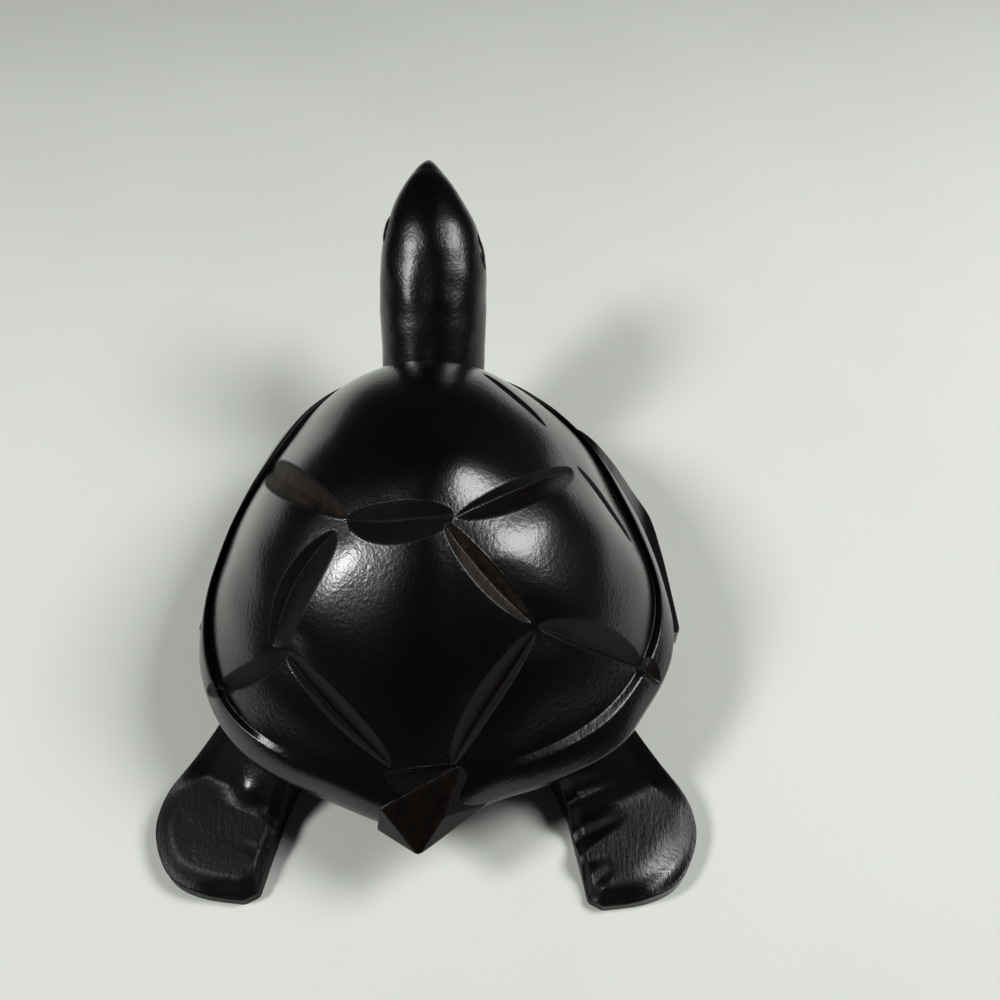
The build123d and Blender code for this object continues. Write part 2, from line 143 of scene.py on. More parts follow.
def even(points, count, closed):
    """Places evenly spaced along a fine polyline."""
    p = np.vstack([points, points[:1]]) if closed else points
    run = np.concatenate([[0], np.cumsum(np.linalg.norm(np.diff(p, axis=0), axis=1))])
    at = np.linspace(0, run[-1], count, endpoint=not closed)
    return np.stack([np.interp(at, run, p[:, k]) for k in range(p.shape[1])], -1)


def open_curve(points, steps=edge_steps):
    """A smooth open curve through points, by Catmull and Rom's rule."""
    p = np.array(points, float)
    p = np.vstack([2 * p[0] - p[1], p, 2 * p[-1] - p[-2]])
    t = np.linspace(0, 1, steps, endpoint=False)[:, None]
    rows = [0.5 * (2 * b + (c - a) * t + (2 * a - 5 * b + 4 * c - d) * t ** 2
                   + (3 * b - a - 3 * c + d) * t ** 3)
            for a, b, c, d in zip(p, p[1:], p[2:], p[3:])]
    return np.vstack(rows + [p[-2:-1]])


def smooth_min(a, b, soft):
    """The lesser of two heights, with the crease between them rounded."""
    mix = np.clip(0.5 + 0.5 * (b - a) / soft, 0, 1)
    return b + (a - b) * mix - soft * mix * (1 - mix)


def smooth_step(value, low, high):
    """From 0 at the low value to 1 at the high one, with soft ends."""
    t = np.clip((value - low) / (high - low), 0, 1)
    return t * t * (3 - 2 * t)


def unit(vector):
    """The vector's heading, one long."""
    return np.asarray(vector, float) / np.linalg.norm(vector)


wave_count = 9
wave_spread = (0.7, 1.5)


def waves(points, length, seed):
    """Gentle uneven swells over points, from about -1 to 1, with no pattern to see."""
    random = np.random.default_rng(seed)
    total = np.zeros(points.shape[:-1])
    for _ in range(wave_count):
        way = unit(random.normal(size=3)) * 2 * pi / (length * random.uniform(*wave_spread))
        total += np.sin(points @ way + random.uniform(0, 2 * pi))
    return total / wave_count ** 0.5


# The photograph's camera, for finding places by their pixels
eye = np.array([camera_side, camera_back, camera_height])
look = np.array([0, -cos(camera_pitch), -sin(camera_pitch)])
lift = np.array([0, -sin(camera_pitch), cos(camera_pitch)])
right = np.array([-1.0, 0, 0])
focal = camera_lens / sensor_width * image_size


def pixels(points):
    """The pixel of the photograph at which each point shows."""
    ray = np.asarray(points) - eye
    depth = ray @ look
    return np.stack([image_size / 2 + focal * (ray @ right) / depth,
                     image_size / 2 - focal * (ray @ lift) / depth], -1)


def normals(grid):
    """Outward normals of a grid of rings that starts at its middle and runs round by the left."""
    along = np.gradient(grid, axis=0)
    around = np.roll(grid, -1, 1) - np.roll(grid, 1, 1)
    cross = np.cross(along, around)
    return cross / np.maximum(np.linalg.norm(cross, axis=-1, keepdims=True), tiny)


def at_pixel(grid, facing, pixel):
    """The place and normal on a grid's visible side that shows at a pixel."""
    off = np.linalg.norm(pixels(grid) - pixel, axis=-1)
    hidden = np.einsum("ijk,ijk->ij", facing, eye - grid) <= 0
    nearest = np.unravel_index(np.argmin(off + hidden * image_size), off.shape)
    return grid[nearest], facing[nearest]


def ring_mesh(name, grid, mask=None, middles=(None, None)):
    """A closed mesh from rings of points, from one middle to the other, with its masks."""
    rows, turns = grid.shape[:2]
    first = grid[0].mean(0) if middles[0] is None else middles[0]
    last = grid[-1].mean(0) if middles[1] is None else middles[1]
    points = np.vstack([grid.reshape(-1, 3), first, last])
    index = np.arange(rows * turns).reshape(rows, turns)
    after = np.roll(index, -1, 1)
    quads = np.stack([index[:-1], index[1:], after[1:], after[:-1]], -1).reshape(-1, 4)
    start = np.stack([np.full(turns, rows * turns), index[0], after[0]], -1)
    stop = np.stack([np.full(turns, rows * turns + 1), after[-1], index[-1]], -1)
    mesh = bpy.data.meshes.new(name)
    corners = np.concatenate([quads.ravel(), start.ravel(), stop.ravel()])
    counts = np.concatenate([np.full(len(quads), 4), np.full(len(start) + len(stop), 3)])
    mesh.vertices.add(len(points))
    mesh.vertices.foreach_set("co", places(points).astype(np.float32).ravel())
    mesh.loops.add(len(corners))
    mesh.loops.foreach_set("vertex_index", corners.astype(np.int32))
    mesh.polygons.add(len(counts))
    mesh.polygons.foreach_set("loop_start", (np.cumsum(counts) - counts).astype(np.int32))
    mesh.update(calc_edges=True)
    mesh.validate()
    for key in ("cut", "worn"):
        values = np.zeros(len(points), np.float32)
        if mask is not None:
            values[:rows * turns] = mask[key].ravel()
        mesh.attributes.new(key, "FLOAT", "POINT").data.foreach_set("value", values)
    mesh.shade_smooth()
    piece = bpy.data.objects.new(name, mesh)
    bpy.context.scene.collection.objects.link(piece)
    return piece


def thin_out(piece, most):
    """Fewer faces where the surface is smooth, so that the creases keep theirs."""
    faces = sum(len(face.vertices) - 2 for face in piece.data.polygons)
    if faces <= most:
        return
    modifier = piece.modifiers.new("thin", "DECIMATE")
    modifier.ratio = most / faces
    bpy.context.view_layer.update()
    seen = piece.evaluated_get(bpy.context.evaluated_depsgraph_get())
    mesh = bpy.data.meshes.new_from_object(seen)
    piece.modifiers.clear()
    piece.data = mesh
    mesh.shade_smooth()


def empty_mask(grid):
    """How dull the wood is, from fresh cuts and from painted shade and highlights, and how brown it is at
    each point, none of it so far.
    """
    return {"cut": np.zeros(grid.shape[:2]), "worn": np.zeros(grid.shape[:2])}


# Fineness
shell_turns = 1300
shell_rows = 250
flipper_turns = 420
flipper_step = 0.45
head_turns = 280
head_rows = 300
shell_faces = 190000
flipper_faces = 60000
margin_rows = shell_rows // 5
shell_under_rows = 12
dome_samples = 400

# Gouge strokes on the shell: the pixels of the crease's start, middle and end, its depth, the widths
# of its left and right walls, how dull these are (matte cut wood, and on the steep narrow walls a painted
# shade that darkens the crease), how brown they are worn, and how deep and wide the stroke's edges are
# rounded
shell_gouges = {
    "middle": (((346, 519), (401, 517), (454, 514)), 2.4, (4.2, 6.6), (1.0, 0.9), 0.04, 0.3, 6.0),
    "left_front": (((347, 517), (309, 497), (270, 468)), 1.7, (4.0, 4.6), (1.0, 1.0), 0.8, 0.3, 6.0),
    "right_front": (((456, 517), (508, 491), (572, 468)), 1.9, (2.0, 5.6), (1.0, 0.55), 0.08, 1.5, 9.0),
    "left": (((334, 530), (293, 574), (273, 646)), 2.2, (7.6, 2.4), (0.9, 1.0), 0.10, 0.5, 6.5),
    "right": (((444, 521), (484, 572), (532, 622)), 2.1, (2.9, 3.2), (0.8, 0.6), 0.8, 0.3, 6.0),
    "left_side": (((288, 654), (252, 678), (215, 689)), 1.4, (1.6, 3.6), (0.9, 0.9), 0.1, 0.5, 6.0),
    "left_back": (((284, 653), (331, 714), (390, 767)), 1.8, (5.2, 1.1), (0.8, 1.0), 0.05, 0.5, 6.0),
    "right_side": (((538, 627), (590, 646), (646, 667)), 1.8, (5.6, 1.3), (0.8, 1.0), 0.05, 0.6, 6.0),
    "right_back": (((537, 633), (497, 698), (454, 766)), 2.0, (1.1, 5.6), (1.0, 0.8), 0.15, 0.6, 6.0),
    "back": (((383, 776), (418, 773), (455, 766)), 1.5, (1.2, 6.0), (1.0, 0.5), 0.08, 0.2, 5.0),
    "right_rim": (((484, 374), (514, 395), (546, 427)), 1.3, (1.6, 2.8), (1.0, 0.8), 0.2, 0.2, 5.0),
    "right_edge": (((578, 466), (604, 500), (631, 542)), 1.3, (2.4, 2.2), (1.0, 1.0), 0.0, 0.2, 5.0),
    "left_notch": (((207, 691), (222, 688), (238, 685)), 0.9, (1.8, 2.0), (0.9, 0.9), 0.2, 0.0, 5.0),
    "right_notch": (((634, 661), (646, 669), (660, 682)), 1.6, (3.4, 2.4), (0.6, 0.6), 0.2, 0.0, 5.0)}
shoulder_end_loss = 0.8
groove_soft = 0.22
groove_arch_power = 0.55
groove_overrun = 0.1
groove_reach = 20.0
dull_span = (-0.30, 0.05)
worn_span = (0.05, 0.5)

# Hand work on the dome: each dent's pixel, depth (below zero where the wood swells out) and width
shell_dents = [
    ((434, 522), -1.6, 11.4), ((435, 476), -1.9, 12.2), ((486, 540), -0.6, 12.0),
    ((453, 461), -1.6, 11.3), ((471, 503), 0.5, 24.8), ((284, 652), 0.8, 6.0), ((537, 630), 0.8, 6.0)]

# Gentle swells left by the hand: height, length from one to the next, and seed
shell_swell = 0.07
shell_swell_length = 16.0
shell_seed = 4

# The front of the dome is a little fuller behind the foot of the neck
collar_place = (2.0, -50.0, 58.0)
collar_rise = 1.9
collar_width = (24.0, 16.0, 16.0)

# How much of the margin's groove is left open, by turns round the shell from its front by the left
groove_turns = [
    (0.00, 0.6), (0.08, 0.9), (0.34, 1.0), (0.375, 0.8), (0.40, 0.3), (0.43, 0.0), (0.55, 0.0),
    (0.58, 0.3), (0.62, 0.4), (0.66, 0.45), (0.70, 0.8), (0.90, 0.8), (1.00, 0.6)]
groove_fill = 1.75
groove_fill_inside = 8.0
groove_fill_outside = 3.0
# Painted shade along the open groove, left unpolished so it reads as a dark line: its middle off the foot
# and its width
groove_shade_middle = 0.8
groove_shade_width = 1.6
fillet_width = 6.0
fillet_reach = 11.0
under_span = (0.95, 0.05)


def dome_rings(foot):
    """Rings of points from just off the apex to the foot of the dome, evenly spaced down its side."""
    fine = np.linspace(0, 1, dome_samples)
    climb = dome_power * (dome_rise - valley_height) * fine ** (dome_power - 1)
    run = np.cumsum(np.hypot(climb, shell_width / 2))
    shares = np.interp(np.linspace(run[0], run[-1], shell_rows), run, fine)[1:]
    rings = []
    for share in shares:
        level = valley_height + (dome_rise - valley_height) * (1 - share ** dome_power)
        rings.append(np.column_stack([apex + (foot - apex) * share, np.full(shell_turns, level)]))
    return rings


def fill_margin(rings, top_rows, foot):
    """Closes the margin's groove where it was left shallow, and gives the painted shade that keeps the
    open groove a dark line.
    """
    foot_off = np.linalg.norm(rings[..., :2] - apex, axis=-1) - np.linalg.norm(foot - apex, axis=-1)
    turns, opens = zip(*groove_turns)
    closed = 1 - np.interp(np.arange(shell_turns) / shell_turns, turns, opens)
    reach = np.where(foot_off < 0, groove_fill_inside, groove_fill_outside)
    rings[:top_rows, :, 2] += (groove_fill * closed * np.exp(-(foot_off / reach) ** 2))[:top_rows]
    step = np.median(np.linalg.norm(np.diff(rings[:top_rows], axis=0), axis=-1))
    window = np.exp(-(foot_off / fillet_reach) ** 2) * closed
    soft = rings.copy()
    soft[:top_rows] = blurred(rings[:top_rows], fillet_width / step)
    rings += (soft - rings) * window[..., None]
    return (1 - closed) * np.exp(-((foot_off - groove_shade_middle) / groove_shade_width) ** 2)


def shell_grid():
    """Rings of points from the top of the dome out over the margin and round under the rim."""
    half = np.array([shell_width, shell_length]) / 2
    rim = closed_curve(np.array(rim_shares) * half, shell_turns)
    foot = closed_curve(np.array(foot_shares) * half, shell_turns)
    rings = dome_rings(foot)
    for share, level in even(open_curve(margin_section, section_steps), margin_rows, False)[1:]:
        rings.append(np.column_stack([foot + (rim - foot) * share, np.full(shell_turns, level)]))
    top_rows = len(rings)
    for share in np.linspace(*under_span, shell_under_rows):
        rings.append(np.column_stack([apex + (rim - apex) * share, np.zeros(shell_turns)]))
    rings = np.array(rings)
    shade = fill_margin(rings, top_rows, foot)
    return from_shell(rings), top_rows, shade


def blurred(rows, width):
    """Rows of points smoothed from each row to the next, with both ends held."""
    reach = int(3 * width)
    weights = np.exp(-(np.arange(-reach, reach + 1) / width) ** 2)
    before = 2 * rows[:1] - rows[reach:0:-1]
    after = 2 * rows[-1:] - rows[-2:-reach - 2:-1]
    padded = np.concatenate([before, rows, after])
    return sum(w * padded[k:k + len(rows)] for k, w in enumerate(weights / weights.sum()))


def hand_worked(base):
    """The dome with its fuller front, the rounded shoulders of its strokes, and its dents."""
    off = (base - collar_place) / collar_width
    base = base + normals(base) * (collar_rise * np.exp(-(off ** 2).sum(-1)))[..., None]
    facing = normals(base)
    low = np.zeros(base.shape[:2])
    for line, *_, deep, wide in shell_gouges.values():
        ends = [at_pixel(base, facing, pixel)[0] for pixel in (line[0], line[2])]
        away, part = line_distance(base, *ends)
        low = np.maximum(low, deep * (1 - shoulder_end_loss * part ** 2) * np.exp(-(away / wide) ** 2))
    for pixel, depth, wide in shell_dents:
        place, _ = at_pixel(base, facing, pixel)
        away = np.linalg.norm(base - place, axis=-1)
        low = low + depth * np.exp(-(away / wide) ** 2)
    return base - facing * low[..., None]


def make_shell():
    """The shell, from its worked dome and margin to its flat underside."""
    grid, top_rows, shade = shell_grid()
    mask = empty_mask(grid)
    base = hand_worked(grid[:top_rows])
    facing = normals(base)
    deep = np.zeros(base.shape[:2])
    # The margin groove's painted shade starts the cut mask, which leaves the groove unpolished and dark
    cut = shade[:top_rows]
    worn = np.zeros(base.shape[:2])
    for stroke in shell_gouges.values():
        taken, dull, brown = gouge(base, facing, stroke)
        deep = np.maximum(deep, taken)
        cut = np.maximum(cut, dull)
        worn = np.maximum(worn, brown)
    top = base - facing * deep[..., None]
    top = top + facing * (shell_swell * waves(base, shell_swell_length, shell_seed))[..., None]
    seam = np.exp(-(neck_gap(top) / neck_seam_width) ** 2)
    grid[:top_rows] = top - facing * (neck_seam_depth * seam)[..., None]
    mask["cut"][:top_rows] = cut
    mask["worn"][:top_rows] = worn
    piece = ring_mesh("carved_shell", grid, mask)
    thin_out(piece, shell_faces)
    return piece


def line_distance(points, a, b):
    """Distance from points to a straight stretch, and the part of its length at which each is nearest."""
    run = b - a
    at = np.clip((points - a) @ run / (run @ run), 0, 1)
    return np.linalg.norm(points - a - at[..., None] * run, axis=-1), at


def gouge(base, facing, stroke):
    """How deep a stroke goes at each point of a surface, and how dull and brown it leaves the wood; the
    dullness on the narrow walls is painted crease shade.
    """
    (start, middle, end), depth, (left_wide, right_wide), (left_dull, right_dull), brown, *_ = stroke
    a, _ = at_pixel(base, facing, start)
    m, up = at_pixel(base, facing, middle)
    b, _ = at_pixel(base, facing, end)
    run = b - a
    along = unit(run - up * (run @ up))
    across = np.cross(up, along)
    length = run @ along
    centre = (a + b) / 2
    bow = (m - centre) @ across
    away = base - centre
    s = (away @ along) / length + 0.5
    arch = 4 * s * (1 - s)
    side = away @ across - bow * np.clip(arch, 0, 1)
    wall = np.where(side > 0, side / left_wide, -side / right_wide) * depth
    under = depth * np.sign(arch) * np.abs(arch) ** groove_arch_power - wall
    past_end = (s < -groove_overrun) | (s > 1 + groove_overrun)
    far = past_end | (np.abs(side) > 2 * (left_wide + right_wide)) | (away @ up < -groove_reach)
    under = np.where(far, -1, under)
    taken = -smooth_min(0, -under, groove_soft)
    dull = np.where(side > 0, left_dull, right_dull) * smooth_step(under, *dull_span)
    return taken, dull, brown * smooth_step(under, *worn_span)


# Head and neck: the middle line as shares of the way from the seat to the beak, forward and up, and of
# the beak's lean to the left, then half width and half depth as shares of the head's
neck_offset = 2.6
neck_seat_height = 36.0
neck_run = 59.5
neck_lift = 44.0
beak_lean = 1.9
head_width = 31.6
head_depth = 27.6
neck_seam_depth = 0.7
neck_seam_width = 0.6
spine_shares = [
    (0.00, 0.00, 0.0, 0.97, 1.03), (0.10, 0.155, 0.0, 0.98, 1.03), (0.27, 0.405, 0.0, 1.01, 1.03),
    (0.44, 0.64, 0.0, 1.01, 1.01), (0.575, 0.80, 0.15, 0.90, 0.94), (0.71, 0.905, 0.6, 0.66, 0.72),
    (0.85, 0.965, 0.9, 0.38, 0.44), (0.95, 0.99, 1.0, 0.17, 0.20), (1.00, 1.00, 1.0, 0.04, 0.05)]

# Eyes: carved almonds, each at a share of the neck's run forward and at a height over the cheek's middle
eye_length = 9.6
eye_width = 4.6
eye_rim_depth = 0.9
eye_rim_width = 0.45
eye_dull_width = 1.6 * eye_rim_width
eye_ball_rise = 0.35
eye_ball_span = (0.5, 1.8)
eye_reach = pi / 3
eye_places = {1: (0.585, 2.8), -1: (0.50, 2.8)}

# Mouth: a fine line on each side, from a share of the head's length to the beak, and how low it lies
mouth_depth = 0.55
mouth_width = 0.5
mouth_start = 0.68
mouth_fade = 0.08
mouth_low = (3.4, 0.4)
mouth_reach = pi / 2.2

# The shallow groove along the back of the neck, and the gentle swells left by the hand
flute_turn = 1.45
flute_width = 0.22
flute_depth = 0.35
flute_end = (0.45, 0.65)
head_swell = 0.08
head_swell_length = 9.0
head_swell_end = (0.9, 1.0)
head_seed = 7
head_dull = 0.3


def spine_line():
    """Centres and half sizes along the head and neck, closer together towards the beak."""
    rows = []
    for forward, up, lean, wide, deep in spine_shares:
        rows.append((neck_offset + beak_lean * lean, -neck_seat_reach - neck_run * forward,
                     neck_seat_height + neck_lift * up, head_width / 2 * wide, head_depth / 2 * deep))
    fine = open_curve(rows, curve_steps)
    run = np.concatenate([[0], np.cumsum(np.linalg.norm(np.diff(fine[:, :3], axis=0), axis=1))])
    closer = run[-1] * np.sin(np.linspace(0, pi / 2, head_rows))
    at = 0.5 * closer + 0.5 * np.linspace(0, run[-1], head_rows)
    return np.stack([np.interp(at, run, values) for values in fine.T], -1), at / run[-1]


def neck_gap(points):
    """How far points are from the side of the neck, where it stands in the shell."""
    (forward, rise, *_, wide_share, deep_share), (next_forward, next_rise, *_) = spine_shares[:2]
    base = np.array([neck_offset, -neck_seat_reach - neck_run * forward,
                     neck_seat_height + neck_lift * rise])
    axis = unit([0, neck_run * (forward - next_forward), neck_lift * (next_rise - rise)])
    up = np.cross(axis, [1.0, 0, 0])
    away = points - base
    wide = head_width / 2 * wide_share
    deep = head_depth / 2 * deep_share
    share = np.hypot((away @ [1.0, 0, 0]) / wide, (away @ up) / deep)
    distant = np.abs(away @ axis) > neck_run / 2
    return (share - 1) * wide + distant * neck_run


def head_rings(line, angle):
    """Rings of points along the head and neck, and the outward heading at each."""
    centres, wide, deep = line[:, :3], line[:, 3], line[:, 4]
    heading = np.gradient(centres, axis=0)
    heading[:, 0] = 0
    heading /= np.linalg.norm(heading, axis=1, keepdims=True)
    side = np.array([1.0, 0, 0])
    up = np.cross(heading, side)
    up *= np.sign(up[0, 2])
    grid = (centres[:, None] + side * (wide[:, None] * np.cos(angle))[..., None]
            + up[:, None] * (deep[:, None] * np.sin(angle))[..., None])
    out = (side * np.cos(angle)[None, :, None] / wide[:, None, None]
           + up[:, None] * np.sin(angle)[None, :, None] / deep[:, None, None])
    return grid, out / np.linalg.norm(out, axis=-1, keepdims=True)


def eye_relief(line, lean, place):
    """How far one eye's carving stands out or in, and how dull its rim is."""
    forward, rise = place
    centres, wide, deep = line[:, :3], line[:, 3], line[:, 4]
    run = np.concatenate([[0], np.cumsum(np.linalg.norm(np.diff(centres, axis=0), axis=1))])
    row = np.argmin(np.abs(-centres[:, 1] - neck_seat_reach - neck_run * forward))
    x = (run - run[row])[:, None] + 0 * lean
    y = lean * 0.5 * (wide[row] + deep[row]) - rise
    half = eye_width / 2
    radius = (eye_length ** 2 / 4 + half ** 2) / (2 * half)
    almond = np.maximum(np.hypot(x, y - half + radius), np.hypot(x, y + half - radius)) - radius
    near = np.abs(lean) < eye_reach
    ball = eye_ball_rise * smooth_step(-almond, *eye_ball_span)
    rim = eye_rim_depth * np.exp(-(almond / eye_rim_width) ** 2)
    return near * (ball - rim), near * np.exp(-(almond / eye_dull_width) ** 2)


def mouth_relief(line, part, lean):
    """The cut of the mouth's line on one side."""
    low, high = mouth_low
    drop = (low + (high - low) * smooth_step(part, mouth_start, 1))[:, None]
    line_off = lean * 0.5 * (line[:, 3] + line[:, 4])[:, None] + drop
    started = smooth_step(part, mouth_start, mouth_start + mouth_fade)[:, None]
    there = started * (np.abs(lean) < mouth_reach)
    return -there * mouth_depth * np.exp(-(line_off / mouth_width) ** 2)


def make_head():
    """Head and neck in one piece, with eyes, mouth and the groove along the neck."""
    line, part = spine_line()
    angle = np.linspace(0, 2 * pi, head_turns, endpoint=False)
    grid, out = head_rings(line, angle)
    mask = empty_mask(grid)
    mask["cut"] += head_dull
    push = np.zeros(grid.shape[:2])
    for turn, place in eye_places.items():
        lean = angle if turn > 0 else pi - angle
        lean = (lean + pi) % (2 * pi) - pi
        relief, dull = eye_relief(line, lean, place)
        push += relief + mouth_relief(line, part, lean)
        mask["cut"] = np.maximum(mask["cut"], dull)
    flute_fade = 1 - smooth_step(part, *flute_end)[:, None]
    push -= flute_depth * flute_fade * np.exp(-((angle - flute_turn) / flute_width) ** 2)
    swell_fade = 1 - smooth_step(part, *head_swell_end)[:, None]
    push += head_swell * swell_fade * (waves(grid, head_swell_length, head_seed) - 1)
    grid = (grid + out * push[..., None])[:, ::-1]
    mask = {key: value[:, ::-1] for key, value in mask.items()}
    return ring_mesh("carved_head_and_neck", grid, mask)


# Hind flippers: outlines as shares of their length and width, side views as shares of their length and
# of the root's height, and what differs between left (1) and right (-1)
paddle_length = 42.5
paddle_width = 34.5
paddle_root_height = 26.0
paddle_roots = {1: (36.0, 41.0), -1: (33.8, 42.4)}
paddle_splay = radians(25.5)
paddle_shares = [
    (-0.03, 0.36), (0.105, 0.45), (0.315, 0.555), (0.55, 0.655), (0.74, 0.62), (0.875, 0.49),
    (0.97, 0.29), (0.97, 0.05), (0.895, -0.25)]
paddle_corner_share = (0.82, -0.32)
paddle_inner_shares = [(0.65, -0.265), (0.32, -0.175), (0.10, -0.20), (-0.05, -0.33)]
paddle_root_shares = [(-0.33, -0.25), (-0.33, 0.40)]
paddle_top_shares = [(-0.35, 1.08), (0.0, 0.93), (0.24, 0.60), (0.50, 0.32), (0.78, 0.205), (1.05, 0.165)]
paddle_under_shares = [(0.45, 0.0), (0.20, 0.10), (0.0, 0.32), (-0.35, 0.45)]
paddle_middle_share = (0.42, 0.16)
paddle_middle_shares = {
    1: [(-0.35, 1.08), (0.0, 0.93), (0.12, 0.75), (0.24, 0.57), (0.33, 0.435), (0.385, 0.352),
        (0.40, 0.335), (0.42, 0.325), (0.50, 0.31), (0.65, 0.285), (0.80, 0.26), (1.05, 0.21)],
    -1: [(-0.35, 1.08), (0.0, 0.93), (0.12, 0.755), (0.24, 0.575), (0.34, 0.425), (0.40, 0.335),
         (0.44, 0.295), (0.50, 0.277), (0.60, 0.262), (0.75, 0.245), (0.84, 0.23), (1.05, 0.18)]}
paddle_crest_shares = [
    (-0.35, 1.08), (0.0, 0.93), (0.12, 0.75), (0.24, 0.578), (0.30, 0.512), (0.34, 0.475), (0.38, 0.447),
    (0.41, 0.41), (0.44, 0.362), (0.47, 0.328), (0.50, 0.313), (0.65, 0.285), (0.80, 0.26), (1.05, 0.21)]
edge_blend = 5.0
roll_depth = {1: 0.0, -1: 1.8}
roll_slant = 0.4
roll_span = (0.82, 1.2)
crest_size = {1: 1.0, -1: 0.0}
crest_middle = 0.09
crest_width = 0.13
inner_span = (-0.12, 0.12)
inner_roll = 1.6
inner_roll_width = 3.5
flipper_swell = 0.04
flipper_swell_length = 9.0
flipper_seed = 11
flipper_round = 1.0

# How dull the blade is left, and the pixel and width of the patch kept polished where the blade's
# highlight shows, a painted highlight
blade_dull = {1: 0.85, -1: 0.72}
blade_highlight_patch = {1: ((242, 782), 14), -1: ((666, 870), 24)}

# Every flipper: how its edge and its crease under the shell are rounded, the rings of its edge, side and
# underside, and the least gap before the edge's rings, as a share of the usual one
edge_round = 0.35
shell_soft = 0.3
edge_rings = 5
side_rings = 8
flipper_under_rings = 14
flipper_under_span = (0.97, 0.05)
edge_gap = 0.3

# Front flippers: outlines as shares of their length and reach, side views as shares of their reach and
# of the root's height
front_reach = 69.4
front_length = 66.0
front_start = 61.0
front_root_height = 28.0
front_outer_shares = [
    (0.06, 0.60), (0.13, 0.72), (0.22, 0.83), (0.34, 0.925), (0.56, 0.965), (0.80, 0.987), (0.97, 1.0)]
front_tip_shares = [(1.00, 0.985), (1.02, 0.90)]
front_inner_shares = [(0.88, 0.862), (0.68, 0.80), (0.52, 0.70), (0.44, 0.50)]
front_root_share = (0.13, 0.43)
front_top_shares = [(0.40, 1.0), (0.62, 0.91), (0.75, 0.66), (0.865, 0.34), (0.94, 0.215), (1.03, 0.17)]
front_under_shares = [(0.795, 0.0), (0.72, 0.22), (0.62, 0.43), (0.40, 0.54)]
front_middle_share = (0.42, 0.80)

# Belly block: its corners as shares of half the shell's width and length
belly_depth = 16.0
belly_taper = 0.86
belly_shares = [
    (0.20, -0.90), (0.52, -0.74), (0.74, -0.36), (0.75, 0.22), (0.72, 0.40), (0.35, 0.73), (0.22, 0.88)]
belly_front_shares = belly_shares[1:3]
belly_rear_shares = belly_shares[4:6]
belly_bevel = 1.2
joint_room = 0.15

# Hollows on the hind flippers' inner edges: the pixels of each one's start at the edge and its end,
# its depth at the edge and its half width
toe_scoops = {
    1: [((277, 822), (250, 799), 0.22, 2.2), ((266, 858), (236, 840), 0.26, 2.4),
        ((259, 884), (242, 864), 0.26, 2.2)],
    -1: [((563, 803), (622, 774), 1.5, 2.6), ((573, 838), (624, 812), 2.6, 4.8),
         ((586, 884), (612, 862), 2.0, 4.4)]}
scoop_floor = 1.6
scoop_length = 1.1
scoop_run_in = (-1.0, -0.5)
scoop_taper = 0.6
scoop_widen = 1.15
scoop_width_span = (0.4, 1.2)
scoop_flat = 0.15


def height_at(shares, at, scale):
    """A side view's height, smooth through its shares."""
    fine = open_curve(sorted(shares), height_steps)
    return np.interp(at, fine[:, 0], fine[:, 1]) * scale


def soft_loop(parts, count, round_over):
    """A closed outline made of open stretches, evenly spaced and a little rounded at its corners."""
    loop = even(np.vstack(parts), count, True)
    step = np.linalg.norm(loop[1] - loop[0])
    width = max(int(round(round_over / step)), 1)
    offsets = range(-width, width + 1)
    weights = [(1 + cos(pi * k / (width + 1))) for k in offsets]
    total = sum(np.roll(loop, k, 0) * w for k, w in zip(offsets, weights))
    return total / sum(weights)


def belly_side(corner_shares, side):
    """Outward heading of a flat side of the belly block, and how far out it stands at the rim."""
    half = np.array([shell_width, shell_length]) / 2
    a, b = np.array(corner_shares) * half
    run = unit(b - a)
    facing = np.array([side * run[1], -run[0]])
    return facing, abs(run[1] * a[0] - run[0] * a[1])


def scooped(level, plan, hollow):
    """Heights with one hollow taken out, which is widest and deepest at the flipper's edge."""
    start, end, depth, wide = hollow
    run = end - start
    at = (plan - start) @ run / (run @ run)
    across = np.abs((plan - start) @ [-run[1], run[0]]) / np.linalg.norm(run)
    fade = (1 - smooth_step(at, 0, scoop_length)) * smooth_step(at, *scoop_run_in)
    width = wide * np.clip(scoop_widen - scoop_taper * at, *scoop_width_span)
    return level - depth * fade * (1 - smooth_step(across, scoop_flat * width, width))


